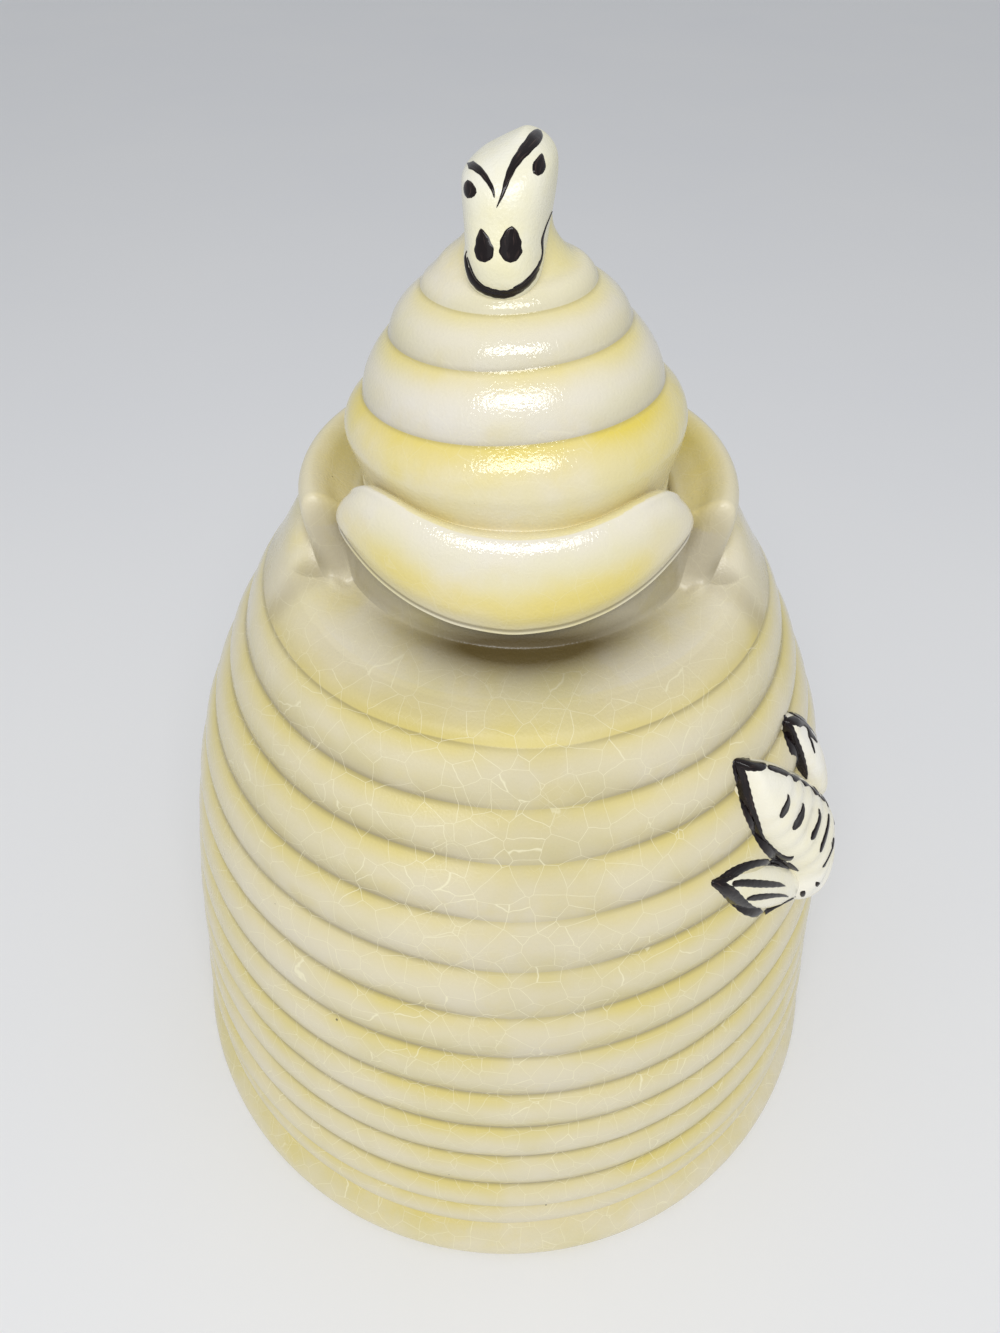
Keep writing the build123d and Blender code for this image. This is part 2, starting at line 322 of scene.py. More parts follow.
def add_shoulder(section):
    """Behind, the shoulder, the collar and its dish; in front, the scooped shoulder and the neck band."""
    last = groove(len(GROOVES) - 1)
    dip = CREASE_DIP * (1 - ramp(DEGREES, 63, 82, 0.4))
    crease = CREASE_HEIGHT - dip
    behind = stack([
        last.T, (37.7, 119.6 - dip * 0.06), (35.9, 122.6 - dip * 0.2), (34.0, 125.7 - dip * 0.5),
        (32.1, 127.9 - dip * 0.85), (31.2, crease), (31.5, crease + 1.3), (31.9, 132.4 - 0.2 * dip),
        (31.5, 133.7), (30.8, 134.45), (29.8, 134.7), (28.3, 134.0), (26.4, 132.3), (24.4, 131.2),
        (SEAT_RADIUS + 0.5, 130.8), (SEAT_RADIUS, 130.3), (SEAT_RADIUS, SEAT_HEIGHT)])
    front = stack([
        last.T, (38.5, 118.1), (36.6, 118.9), (34.2, 119.8), (32.0, 120.65), (30.2, 121.35), (29.0, 121.75),
        (28.0, 122.0), (27.3, 122.15), (26.8, 122.35), (26.55, 122.8), (26.4, 123.5), (26.2, 124.4),
        (25.9, 125.5), (25.0, 126.7), (23.6, 128.0), (SEAT_RADIUS, SEAT_HEIGHT)])
    back = ramp(DEGREES, SCOOP_LOW, SCOOP_HIGH, 0.22)
    spread = np.clip(1 - np.arange(len(behind)) / 7, 0, 1)[:, None]
    blend = ramp(DEGREES[None, :], SCOOP_LOW - 32 * spread, SCOOP_HIGH + 12 * spread, 0.3)[..., None]
    # the sixth point is the hard crease under the collar
    run = curve(behind * blend + front * (1 - blend), POT_STEPS // 2, corners=(5,))[1:]

    radii, heights = run[..., 0], run[..., 1]
    from_groove = heights - last[:, 1]
    from_neck = np.hypot(radii - 27.4, heights - 122.2)
    # painted shadow of the lip on the neck band and the shoulder, partly dark pooled glaze, and painted shade
    # on the scoop's walls
    painted_shadow = bump(SIGNED, 3, 42) * (fade(from_neck, 4.2, 1.6) + 0.3 * bump(from_neck, 0, 9))
    painted_shadow = np.maximum(painted_shadow, 0.5 * (1 - back) * (radii < 27) * (heights < 128))
    painted_shadow = np.maximum(painted_shadow, 1.2 * back * (1 - back) * (heights > 123))
    dished = bump(radii, 26.6, 3.2) * (heights > 130.5) * back
    hem = fade(from_groove, 2.2, 1.5) * (radii > 34) * (1 - back)
    collar_rim = 0.9 * bump(radii, 30.4, 1.4) * back
    worn_crest = (0.25 + 0.65 * back) * bump(radii, 36.3, 2.2)
    scoop_sides = 1.6 * bump(DEGREES, 43, 13) * bump(radii, 35.0, 3.5) * (1 - back)
    # painted shade on the scoop's walls, along the crease under the collar and above the last groove
    hollow = 3.2 * back * (1 - back) + back * 0.7 * bump(heights, crease + 1.0, 1.0)
    shade_over_groove = 0.9 * fade(from_groove, 2.4, 1) * (radii > 35) * (1 - front_wear(GROOVES[-1]))
    section.add(
        run,
        pool=0.85 * dished + hem,
        deep=painted_shadow,
        dull=1 - smooth(DEGREES, 72, 95) + 0.9 * hem,
        # line: painted shade in the crease under the collar
        line=0.5 * back * bump(heights, crease, 0.5) * (radii < 33),
        shade=hollow + shade_over_groove,
        pale=collar_rim + 0.2 * dished + worn_crest + scoop_sides)


def add_cavity(section):
    """The seat of the lid, the mouth and the hollow down to the middle of its floor."""
    inside = stack([
        (SEAT_RADIUS, SEAT_HEIGHT), (SEAT_RADIUS - 0.4, SEAT_HEIGHT - 0.02),
        (MOUTH_RADIUS + 0.8, SEAT_HEIGHT - 0.02), (MOUTH_RADIUS + 0.15, SEAT_HEIGHT - 0.3),
        (MOUTH_RADIUS, SEAT_HEIGHT - 1.0), (MOUTH_RADIUS, SEAT_HEIGHT - 6.2), (20.6, 120.0), (25.4, 116.4),
        (34.0, 110.2), (44.5, 95.6), (51.6, 75.6), (57.3, 47.0), (60.4, 27.0), (59.6, 15.5), (55.5, 9.4),
        (47.0, 7.2), (30.0, 7.0), (8.0, 7.0), (0.0, 7.0)])
    section.add(curve(inside, 5)[1:], pool=0.12)


def make_pot():
    rows, marks = Section(add_foot, add_coils, add_shoulder, add_cavity).done()
    # the mould's seam runs down the front: a faint ridge, with thinner glaze beside it
    seam = 1 - 0.35 * smooth(SIGNED, 0.2, 1.2) * (1 - smooth(SIGNED, 12, 22))
    marks["pool"] = marks["pool"] * seam * (0.6 + 0.4 * np.clip(wave(31, 1, 5) + 0.3, -1, 1))
    rows[..., 0] += 0.07 * bump(SIGNED, 0.8, 0.5) * (rows[..., 0] > 30) * (rows[..., 1] > 8)
    rows[..., 0] = np.minimum(rows[..., 0], FOOT_RADIUS - 0.02)
    rows[..., 1] = np.maximum(rows[..., 1], 0)
    return skin("pot_glazed", rows, marks, POT_LEAN)


# ---------- lid
# radius and height of the lid's grooves, then how much higher they run on the bee's side and in front
LID_GROOVES = ((20.4, 147.5, 1.35, 1.7), (15.8, 155.4, 1.2, 0.9), (11.1, 160.7, 0.6, 0.25))
# how far the coils between them stand out, and how full of pooled glaze the groove above each one is
LID_COILS = ((0.75, 0.75), (0.7, 0.5))
# the lowest coil: share of the way up from the seat to its groove, and the radius there
FLANK_FOOT, FLANK_HEIGHT = 132.0, 15.5
FLANK_SHARES = (0.0, 0.065, 0.1, 0.125, 0.155, 0.22, 0.32, 0.44, 0.57, 0.68, 0.78, 0.865, 0.935, 1.0)
FLANK_RADII = (21.2, 21.6, 22.0, 22.15, 21.95, 22.0, 22.4, 22.85, 23.4, 23.7, 23.4, 22.65, 21.6, 20.4)
# the thumb lip: degrees from the front, and there the heights of its edge, its crest and the valley behind it
LIP_STATIONS = (0.0, 16.0, 28.0, 40.0, 50.0, 58.0, 62.0, 65.2)
LIP_EDGE = (125.8, 126.5, 127.7, 129.4, 131.2, 132.4, 133.1, 133.9)
LIP_CREST = (139.2, 139.5, 140.3, 141.3, 140.9, 138.6, 136.7, 134.9)
LIP_VALLEY = (138.4, 138.2, 138.6, 139.4, 138.9, 137.2, 135.9, 134.6)


def lid_groove(i):
    radius, height, side, front = LID_GROOVES[i]
    heights = height + side * np.sin(ANGLES) + front * np.cos(ANGLES)
    return np.stack([np.full_like(ANGLES, radius), heights], -1)


def lowest_coil(share, top):
    """Points (radius, height) of the lid's lowest coil, at shares of the way up to its groove."""
    line = curve(np.array([[[r, s * FLANK_HEIGHT]] for s, r in zip(FLANK_SHARES, FLANK_RADII)]), 12)[:, 0]
    radii = np.interp(share, line[:, 1] / FLANK_HEIGHT, line[:, 0])
    return np.stack([radii, FLANK_FOOT + share * (top - FLANK_FOOT)], -1)


def along_lip(heights):
    """A height given at the lip's stations, all round the axis and with its bends rounded off."""
    even = np.radians(np.linspace(-180, 180, 721)[:-1])
    line = np.interp(DEGREES, LIP_STATIONS, heights)
    line = np.interp(even, ANGLES, line, period=2 * math.pi)
    kernel = np.exp(-(np.arange(-14, 15) / 7.0) ** 2)
    line = np.convolve(np.concatenate([line[-14:], line, line[:14]]), kernel / kernel.sum(), "valid")
    return np.interp(ANGLES, even, line, period=2 * math.pi)


def add_hollow(section):
    """From the middle of the lid's hollow round its flange to the seat."""
    under = stack([
        (0, 160.5), (5.0, 160.0), (9.5, 155.6), (13.6, 146.0), (15.9, 137.0), (16.2, 130.0), (16.2, 125.0),
        (16.5, 124.5), (17.4, 124.4), (18.4, 124.5), (19.0, 125.2), (19.0, 129.0), (19.3, 129.4),
        (20.8, 129.42), (21.15, 129.8), (21.2, 130.8), (21.25, FLANK_FOOT)])
    section.add(curve(under, 3))


def add_lip(section):
    """The lowest coil, and the lip that grows out of it between a root near the seat and a valley."""
    groove_line = lid_groove(0)
    top = groove_line[:, 1]
    lobe = np.clip(1 - (DEGREES / LIP_TIP) ** 16, 0, 1) ** 0.5
    edge, crest, valley = (along_lip(heights) for heights in (LIP_EDGE, LIP_CREST, LIP_VALLEY))
    face = crest - edge
    swell = 0.4 * bump(DEGREES, 62, 8)
    shift = 0.7 * smooth(DEGREES, 25, 50)
    root_share = np.full_like(ANGLES, 0.03)
    valley_share = (valley - FLANK_FOOT) / (top - FLANK_FOOT)
    root, dent = lowest_coil(root_share, top).T, lowest_coil(valley_share, top).T
    lip = stack([
        root, (24.6, edge + 0.42 * face), (27.1, edge + 0.05 * face), (27.9 + swell, edge + 0.02),
        (28.2 + swell, edge + 0.25), (28.05 + swell, edge + 0.6), (28.4 + swell, edge + 0.26 * face),
        (28.2 + swell, edge + 0.46 * face), (27.6 + swell, edge + 0.66 * face),
        (26.9 + swell, edge + 0.8 * face), (25.9 + swell, edge + 0.91 * face),
        (24.7 + swell + shift, crest - 0.02 * face), (dent[0] + 0.8, valley + 0.6 * (crest - valley)),
        dent])
    rim = curve(lip, LID_STEPS)
    share = np.linspace(0, 1, len(rim))[:, None]
    plain = lowest_coil(root_share + share * (valley_share - root_share), top)
    rim = rim * lobe[:, None] + plain * (1 - lobe[:, None])
    share = np.sin(np.linspace(0, math.pi / 2, 5 * LID_STEPS))[1:, None]
    rise = lowest_coil(valley_share + share * (1 - valley_share), top)
    flank = np.concatenate([rim, rise])[1:]
    # the valley, where the lip runs into the coil, is rounded out
    first, last = len(rim) - 7, len(rim) + 5
    for _ in range(12):
        middle = (flank[first - 1:last - 1] + flank[first + 1:last + 1]) / 2
        flank[first:last] += 0.5 * lobe[:, None] * (middle - flank[first:last])

    radii, heights = flank[..., 0], flank[..., 1]
    below = np.hypot(radii - groove_line[:, 0], heights - top)
    on_face = lobe * (radii > 25)
    lip_pool = 0.8 * on_face * bump(heights, edge + 4.4, 3.0) * (1 - 0.65 * smooth(DEGREES, 28, 52))
    # painted shade near the lip's lower edge and under the flank; deep and line are thin lines of painted
    # shade above the bead and in the groove
    lip_shade = 0.6 * on_face * bump(heights, edge + 1.6, 1.2)
    section.add(
        flank,
        pool=fade(below, 3.2, 1.5) + lip_pool + 0.3 * (1 - on_face) * (heights > 133),
        line=0.6 * bump(below, 0, 0.35),
        deep=0.8 * on_face * bump(heights, edge + 0.72, 0.26),
        shade=lip_shade + 0.8 * (1 - lobe) * bump(heights, 134.6, 0.8),
        pale=on_face * bump(heights, crest, 4.0) + 0.35 * (1 - on_face) * bump(heights, 140.5, 3.0))


def add_lid_coils(section):
    for i, (bulge, fullness) in enumerate(LID_COILS):
        low, high = lid_groove(i), lid_groove(i + 1)
        points, s, above, below = coil(low, high, bulge, 2 * LID_STEPS, 0.45)
        # line: painted shade in the groove; shade: painted shade on the coil's underside
        section.add(
            points,
            pool=fullness * fade(below, 2.2, 1.4),
            line=0.6 * bump(np.minimum(above, below), 0, 0.35),
            shade=fade(above, 2.6, 1.6),
            pale=0.9 * bump(s, 0.55, 0.3))


def add_crown(section):
    """From the last groove up to the point that the head covers."""
    radii, heights = lid_groove(2).T
    cone = stack([
        (radii, heights), (10.7, heights + 0.8), (9.6, heights + 1.9), (8.0, 163.8), (6.4, 165.2),
        (5.2, 167.0), (4.7, 168.8), (4.2, 170.0), (2.8, 170.8), (0.0, 171.0)])
    run = curve(cone, LID_STEPS)[1:]
    radii = run[..., 0]
    # shade: painted shade next to the last groove
    section.add(run, pool=0.3 * bump(radii, 6.2, 2.6), shade=0.5 * bump(radii, 11.1, 0.8),
                pale=0.6 * bump(radii, 9.6, 1.5))


def make_lid():
    rows, marks = Section(add_hollow, add_lip, add_lid_coils, add_crown).done()
    rows[..., 0] += 0.1 * wave(41) * smooth(rows[..., 1], 143, 148) * (rows[..., 0] > 8)
    marks["pool"] = marks["pool"] * (0.75 + 0.25 * np.clip(wave(32, 1, 5) + np.cos(ANGLES), -1, 1))
    return skin("lid_glazed", rows, marks, LID_LEAN)


# ---------- head knob
# heights, and at each height the left and right edge and the front and back of the head
HEAD_RISES = (162.6, 163.0, 163.8, 165.0, 166.6, 168.3, 170.2,
              172.0, 173.6, 175.0, 176.1, 177.0, 177.55, 177.7)
HEAD_LEFTS = (-2.4, -3.7, -4.8, -5.6, -5.95, -6.05, -6.25, -6.4, -6.35, -5.0, -2.9, -1.0, 0.1, 0.55)
HEAD_RIGHTS = (-0.8, 0.7, 1.9, 2.9, 3.4, 3.6, 3.95, 4.2, 4.3, 4.15, 3.5, 2.3, 1.1, 0.6)
HEAD_FRONTS = (-9.2, -10.2, -10.8, -11.1, -11.0, -10.3, -9.5, -8.9, -8.1, -6.9, -5.3, -3.2, -1.4, -0.2)
HEAD_BACKS = (-8.0, -6.0, -4.0, 0.0, 4.0, 5.4, 6.1, 6.3, 6.0, 5.2, 4.2, 2.8, 1.2, 0.2)
# the lower bill, a little wider and lower than the muzzle and set back under it
BILL_RISES = (161.9, 162.2, 162.9, 164.0, 165.4, 166.8, 168.0, 168.6)
BILL_LEFTS = (-2.6, -4.1, -5.3, -6.05, -6.3, -6.15, -5.6, -3.0)
BILL_RIGHTS = (-0.6, 0.9, 2.0, 2.85, 3.1, 3.15, 2.6, 0.5)
BILL_FRONTS = (-8.9, -9.9, -10.4, -10.5, -10.0, -9.0, -7.6, -5.0)
BILL_BACKS = (-7.0, -5.0, -3.0, -1.0, 0.0, 0.0, -1.0, -3.0)
# each level is turned a little and lies between an ellipse (2) and a box
HEAD_TURN, HEAD_SQUARENESS, HEAD_THINNEST = -9.0, 2.5, 0.04


def egg(name, levels, steps, count):
    """Closed form of level rounded sections, from its heights, lefts, rights, fronts and backs."""
    rows = curve(np.array(levels).T[:, None, :], steps)[:, 0]
    theta = np.arange(count) * 2 * math.pi / count
    across, deep = (np.sign(x) * np.abs(x) ** (2 / HEAD_SQUARENESS) for x in (np.cos(theta), np.sin(theta)))
    turn = math.radians(HEAD_TURN)
    points = []
    for z, left, right, front, back in rows:
        x = across * max(right - left, HEAD_THINNEST) / 2
        y = deep * max(back - front, HEAD_THINNEST) / 2
        x, y = x * math.cos(turn) - y * math.sin(turn), x * math.sin(turn) + y * math.cos(turn)
        points.append(np.stack([x + (left + right) / 2, y + (front + back) / 2, np.full_like(x, z)], -1))
    points = np.array(points)
    verts = np.concatenate([points[1:-1].reshape(-1, 3), points[:1].mean(1), points[-1:].mean(1)]) * MM
    levels_used = len(points) - 2
    return new_object(name, verts.tolist(), round_quads(levels_used, count) + pole_fans(levels_used, count))


def make_head():
    head = egg("head_glazed", (HEAD_RISES, HEAD_LEFTS, HEAD_RIGHTS, HEAD_FRONTS, HEAD_BACKS), 6, 96)
    bill = egg("head_lower_bill", (BILL_RISES, BILL_LEFTS, BILL_RIGHTS, BILL_FRONTS, BILL_BACKS), 5, 72)
    return head, bill


# ---------- bee in relief
BEE_ANGLE, BEE_HEIGHT, BEE_HEADING = 57.0, 87.0, -62.0
# the forms rise from this far under the coils' middle surface, in rings from the outline to the spine
RELIEF_ROOT, RELIEF_RINGS = -1.3, 14
# the coils' middle surface lies this far outside the groove line
COILS_MIDDLE = 0.9
# outlines and spines: along the bee and across it
BODY_OUTLINE = (
    (-23.8, 1.3), (-20.9, 2.9), (-15.8, 4.7), (-9.0, 6.4), (-2.0, 7.6), (6.0, 8.4), (11.0, 8.4), (15.5, 7.6),
    (18.6, 5.6), (20.2, 2.8), (20.6, -0.6), (19.9, -4.2), (18.2, -7.4), (15.6, -8.9), (12.6, -8.3),
    (9.0, -6.6), (3.0, -6.0), (-3.0, -6.0), (-10.0, -5.2), (-16.0, -3.3), (-20.8, -0.6))
BODY_SPINE = ((-19.0, 0.8), (-8.0, 0.6), (4.0, 0.8), (10.0, 1.0), (15.0, -0.6))
UPPER_WING = (
    (-13.2, 12.4), (-11.2, 14.2), (-8.0, 15.6), (-2.0, 16.0), (4.0, 14.8), (9.0, 12.0), (11.5, 8.6),
    (8.0, 6.8), (0.0, 7.8), (-6.0, 9.4), (-10.5, 11.0), (-12.6, 11.7))
UPPER_SPINE = ((-10.5, 12.4), (-4.0, 12.0), (5.0, 10.4))
LOWER_WING = (
    (-15.0, -14.8), (-12.6, -12.6), (-8.0, -9.8), (-3.0, -7.4), (4.0, -5.4), (10.0, -5.0), (14.0, -6.6),
    (13.5, -9.4), (8.0, -12.0), (2.5, -14.2), (-2.5, -15.5), (-8.0, -15.8), (-12.0, -15.7))
LOWER_SPINE = ((-11.0, -13.8), (-4.0, -12.0), (9.0, -8.0))


def bee_frame():
    """Origin on the groove line, then the directions along the bee, across it and out of the pot."""
    a = math.radians(BEE_ANGLE)
    out = Vector((math.sin(a), -math.cos(a), 0))
    around = Vector((math.cos(a), math.sin(a), 0))
    slope = float(skep(BEE_HEIGHT + 1) - skep(BEE_HEIGHT - 1)) / 2
    up = (out * slope + Vector((0, 0, 1))).normalized()
    h = math.radians(BEE_HEADING)
    along = around * math.cos(h) + up * math.sin(h)
    normal = around.cross(up)
    return out * float(skep(BEE_HEIGHT)) + Vector((0, 0, BEE_HEIGHT)), along, normal.cross(along), normal


BEE_ORIGIN, BEE_ALONG, BEE_ACROSS, BEE_OUT = bee_frame()


def last_true(test, low, high, halvings):
    """The value up to which the test holds, between a low one at which it does and a high one."""
    for _ in range(halvings):
        middle = (low + high) / 2
        if test(middle):
            low = middle
        else:
            high = middle
    return low


def on_coils(u, v, lift):
    """Point over the coils' middle surface at a place in the bee's frame, lifted outwards (mm)."""
    start = BEE_ORIGIN + BEE_ALONG * u + BEE_ACROSS * v

    def inside(height):
        p = start + BEE_OUT * height
        return math.hypot(p.x, p.y) <= skep(p.z) + COILS_MIDDLE
    return start + BEE_OUT * (last_true(inside, -40.0, 20.0, 30) + lift)


def travel(rows):
    """Distance along a line to each of its rows, in the plane of the first two columns."""
    return np.concatenate([[0], np.cumsum(np.linalg.norm(np.diff(rows[:, :2], axis=0), axis=1))])


def resample(rows, length, even):
    return np.stack([np.interp(even, length, column) for column in rows.T], -1)


def loop_at(outline, count):
    """Closed smooth outline through given points, resampled evenly."""
    points = np.array(outline, float)
    rows = [span(np.roll(points, 1 - i, axis=0)[:4, None, :], 10)[:, 0] for i in range(len(points))]
    rows = np.concatenate(rows)
    rows = np.concatenate([rows[-1:], rows])
    length = travel(rows)
    return resample(rows, length, np.linspace(0, length[-1], count + 1)[:-1])


def nearest_on(line, p):
    best, found = 1e9, line[0]
    for a, b in zip(line, line[1:]):
        d = b - a
        t = np.clip(np.dot(p - a, d) / np.dot(d, d), 0, 1)
        q = a + d * t
        gap = np.linalg.norm(p - q)
        if gap < best:
            best, found = gap, q
    return found


def relief(name, outline, spine, height, count, power=2.6, ripple=None):
    """Raised form on the pot, which rises from its outline to the nearest point of its spine."""
    edge = loop_at(outline, count)
    spine = np.array(spine, float)
    middle = [nearest_on(spine, p) for p in edge]
    verts = []
    for ring in range(RELIEF_RINGS + 1):
        rho = 1 - (ring / RELIEF_RINGS) ** 1.6
        rise = math.sqrt(1 - rho ** power)
        for p, m in zip(edge, middle):
            u, v = m + (p - m) * rho
            lift = RELIEF_ROOT + (height - RELIEF_ROOT) * rise
            if ripple:
                lift += ripple(u) * rise
            verts.append(on_coils(u, v, lift) * MM)
    verts += [on_coils(u, v, RELIEF_ROOT - 0.6) * MM for u, v in edge]
    base = (RELIEF_RINGS + 1) * count
    faces = round_quads(RELIEF_RINGS + 1, count)
    faces += [(base + j, base + (j + 1) % count, (j + 1) % count, j) for j in range(count)]
    faces.append(tuple(reversed(range(base, base + count))))
    obj = new_object(name, [tuple(v) for v in verts], faces)
    clean(obj)
    return obj


def bee_ribs(u):
    """Soft bands across the abdomen, the dip between the thorax and the head, and a fall towards the tail."""
    abdomen = float(smooth(u, -17, -12) * (1 - smooth(u, 10, 14)))
    bands = 0.16 * math.sin((u + 1.5) * 2 * math.pi / 4.6) * abdomen
    neck = -0.6 * math.exp(-((u - 15.0) / 1.6) ** 2)
    return bands + neck - 0.9 * float(smooth(-u, 12, 24)) + 0.9 * float(smooth(u, -8, 8))


def wing_root(u):
    """The upper wing thickens towards its root."""
    return 1.7 * float(smooth(u, -12, 2))


def make_bee():
    body = relief("bee_body_glazed", BODY_OUTLINE, BODY_SPINE, 3.5, 150, 3.0, bee_ribs)
    wing_count = 110
    upper = relief("bee_wing_upper_glazed", UPPER_WING, UPPER_SPINE, 1.1, wing_count, ripple=wing_root)
    lower = relief("bee_wing_lower_glazed", LOWER_WING, LOWER_SPINE, 1.2, wing_count)
    return body, upper, lower


# ---------- brushed paint
# strokes on the bee: to the right, up and width, on the plane through the bee that is parallel to the picture
BEE_STROKES = (
    # outline of the abdomen: top, then the tail and the lower side down to the wing
    ((-8.5, 9.7, 1.3), (-7.2, 9.5, 2.0), (-5.4, 9.2, 2.1), (-4.1, 9.1, 1.8), (-3.0, 9.1, 1.4)),
    ((-3.0, 9.1, 0.9), (-1.7, 8.8, 1.4), (-0.3, 8.2, 1.2), (1.3, 7.4, 1.4), (2.9, 6.5, 1.5), (4.1, 5.6, 1.4),
     (5.3, 4.4, 0.7), (6.4, 3.3, 0.1)),
    ((-8.0, 9.9, 1.5), (-7.4, 8.2, 2.1), (-6.7, 5.6, 2.2), (-5.95, 2.4, 2.3), (-4.9, -0.4, 2.0),
     (-4.1, -2.4, 1.6), (-3.0, -3.9, 1.8), (-1.6, -5.2, 1.8), (-0.3, -5.7, 1.3), (0.7, -5.6, 0.7),
     (1.3, -5.2, 0.1)),
    # five stripes
    ((0.3, 4.7, 0.1), (0.4, 3.7, 0.6), (0.1, 2.6, 1.1), (-0.4, 1.6, 1.1), (-0.9, 0.8, 0.5)),
    ((2.7, 3.3, 0.1), (2.7, 2.1, 0.7), (2.3, 0.8, 1.2), (1.7, -0.3, 1.2), (1.1, -1.1, 0.5)),
    ((5.2, 2.4, 0.1), (5.4, 0.8, 0.6), (5.1, -0.6, 1.0), (4.5, -1.9, 1.1), (4.0, -2.7, 0.3)),
    ((6.75, 1.6, 0.1), (6.75, -0.1, 0.5), (6.4, -2.0, 0.8), (5.9, -3.6, 0.9), (5.4, -4.7, 0.2)),
    ((7.6, -2.2, 0.1), (7.4, -3.7, 0.5), (6.9, -5.1, 0.7), (6.3, -6.3, 0.7), (5.8, -7.1, 0.1)),
    # upper wing: thick inner side, far side, a thin line and the tick at its tip
    ((0.0, 16.3, 1.4), (0.5, 14.6, 2.1), (1.1, 12.9, 2.2), (1.8, 11.1, 2.2), (2.4, 9.4, 1.9), (3.0, 7.9, 1.2),
     (3.4, 6.9, 0.1)),
    ((-0.1, 16.1, 1.2), (1.0, 16.3, 1.6), (2.2, 16.2, 1.9), (3.3, 15.4, 1.8), (4.0, 14.3, 1.3),
     (4.5, 13.5, 0.5), (5.0, 12.7, 0.1)),
    ((3.5, 14.0, 0.1), (4.0, 13.1, 0.3), (4.3, 12.1, 0.3), (4.6, 11.0, 0.1)),
    ((-0.1, 17.3, 0.2), (-0.2, 16.8, 0.9), (-0.1, 16.2, 1.5), (0.2, 15.6, 1.5)),
    # lower wing: upper side, lower side and two veins
    ((-11.9, -9.5, 0.9), (-10.4, -9.1, 1.4), (-8.7, -8.1, 1.8), (-6.9, -7.1, 1.6), (-4.7, -6.4, 1.3),
     (-2.5, -6.2, 1.2), (-0.9, -6.4, 1.3), (0.8, -6.9, 1.0), (2.1, -7.6, 0.1)),
    ((-11.9, -9.4, 1.0), (-10.4, -10.0, 1.8), (-8.9, -11.1, 2.5), (-7.6, -12.4, 2.4), (-6.2, -13.6, 2.2),
     (-4.7, -14.2, 1.7), (-3.4, -14.0, 1.2), (-1.9, -13.4, 0.6), (0.0, -12.5, 0.3), (1.6, -11.6, 0.1)),
    ((-8.6, -9.7, 1.0), (-6.9, -9.5, 1.3), (-4.7, -9.6, 1.4), (-2.5, -9.7, 1.2), (-0.9, -9.8, 0.8),
     (-0.0, -10.0, 0.1)),
    ((-6.3, -12.1, 0.3), (-5.3, -11.9, 1.0), (-3.8, -11.7, 1.1), (-1.9, -11.5, 0.8), (-0.3, -11.5, 0.5),
     (0.5, -11.7, 0.1)),
    # eyes at the far end
    ((4.7, -10.0, 0.5), (5.1, -9.7, 1.1), (5.4, -9.4, 0.5)),
    ((2.3, -10.9, 0.6), (2.7, -11.2, 1.4), (3.1, -11.4, 1.2)),
)

# strokes on the side that the first list leaves bare: along the bee, across it and width
BEE_FAR_STROKES = (
    # outline of the upper wing
    ((-10.5, 14.5, 0.3), (-8.0, 15.1, 1.3), (-3.0, 15.5, 1.6), (3.0, 14.6, 1.4), (7.5, 12.4, 1.0),
     (10.4, 9.5, 0.3)),
    # three stripes
    ((-0.5, 5.3, 0.1), (-0.1, 5.9, 0.7), (0.1, 6.5, 1.1), (0.0, 7.1, 0.4)),
    ((4.9, 5.4, 0.1), (5.2, 6.2, 0.8), (5.3, 7.0, 1.0), (5.2, 7.6, 0.4)),
    ((11.0, 4.2, 0.1), (11.0, 5.2, 0.7), (10.8, 6.2, 0.9), (10.6, 7.0, 0.3)),
)

# strokes on the head: across, up and width, on an upright plane at the muzzle
FACE_PLANE = -9.0
FACE_STROKES = (
    # two brows that meet in a point
    ((2.2, 179.7, 1.0), (1.9, 179.4, 1.5), (1.0, 178.4, 1.5), (0.1, 177.4, 1.25), (-0.7, 176.3, 1.0),
     (-1.3, 175.0, 0.75), (-1.8, 173.5, 0.45), (-2.5, 172.0, 0.1)),
    ((-6.4, 176.0, 1.2), (-5.6, 176.45, 1.1), (-4.3, 175.8, 0.85), (-3.5, 174.9, 0.65), (-2.9, 173.9, 0.45),
     (-2.7, 173.0, 0.1)),
    # eyes and nostrils, drops with the point up
    ((2.3, 177.6, 0.2), (2.2, 177.0, 1.0), (2.05, 176.3, 1.6), (1.95, 175.7, 1.5), (1.95, 175.3, 1.1)),
    ((-5.6, 174.9, 0.3), (-5.5, 174.3, 1.3), (-5.4, 173.7, 1.7), (-5.65, 172.95, 0.9)),
    ((-4.2, 169.9, 0.2), (-4.1, 169.2, 1.2), (-3.95, 168.2, 2.1), (-3.85, 167.3, 2.5), (-3.8, 166.5, 2.3),
     (-3.75, 166.1, 1.8)),
    ((-0.75, 170.2, 0.4), (-0.8, 169.5, 1.8), (-0.85, 168.6, 2.6), (-0.85, 167.4, 2.9), (-0.85, 166.6, 2.6),
     (-0.85, 166.1, 2.0)),
    # the line of the mouth, up the right side and along the lower bill
    ((3.7, 172.0, 0.3), (3.4, 171.2, 0.5), (3.0, 170.1, 0.6), (2.7, 168.8, 0.55), (2.75, 167.2, 0.5),
     (2.5, 166.1, 0.45), (1.7, 164.9, 0.4), (0.7, 163.9, 0.4), (-0.6, 163.1, 0.4)),
    ((-5.8, 167.5, 0.2), (-6.0, 166.6, 0.35), (-5.9, 165.6, 0.6), (-5.45, 164.5, 0.85), (-4.4, 163.3, 1.05),
     (-2.7, 162.6, 1.15), (-1.4, 162.5, 1.1), (-0.4, 162.8, 1.0), (0.8, 163.5, 0.85), (1.8, 164.5, 0.6),
     (2.5, 165.7, 0.3)),
    ((-5.8, 166.8, 0.13), (-5.5, 165.8, 0.22), (-4.9, 164.4, 0.24), (-3.9, 163.4, 0.26), (-2.5, 162.8, 0.3)),
)


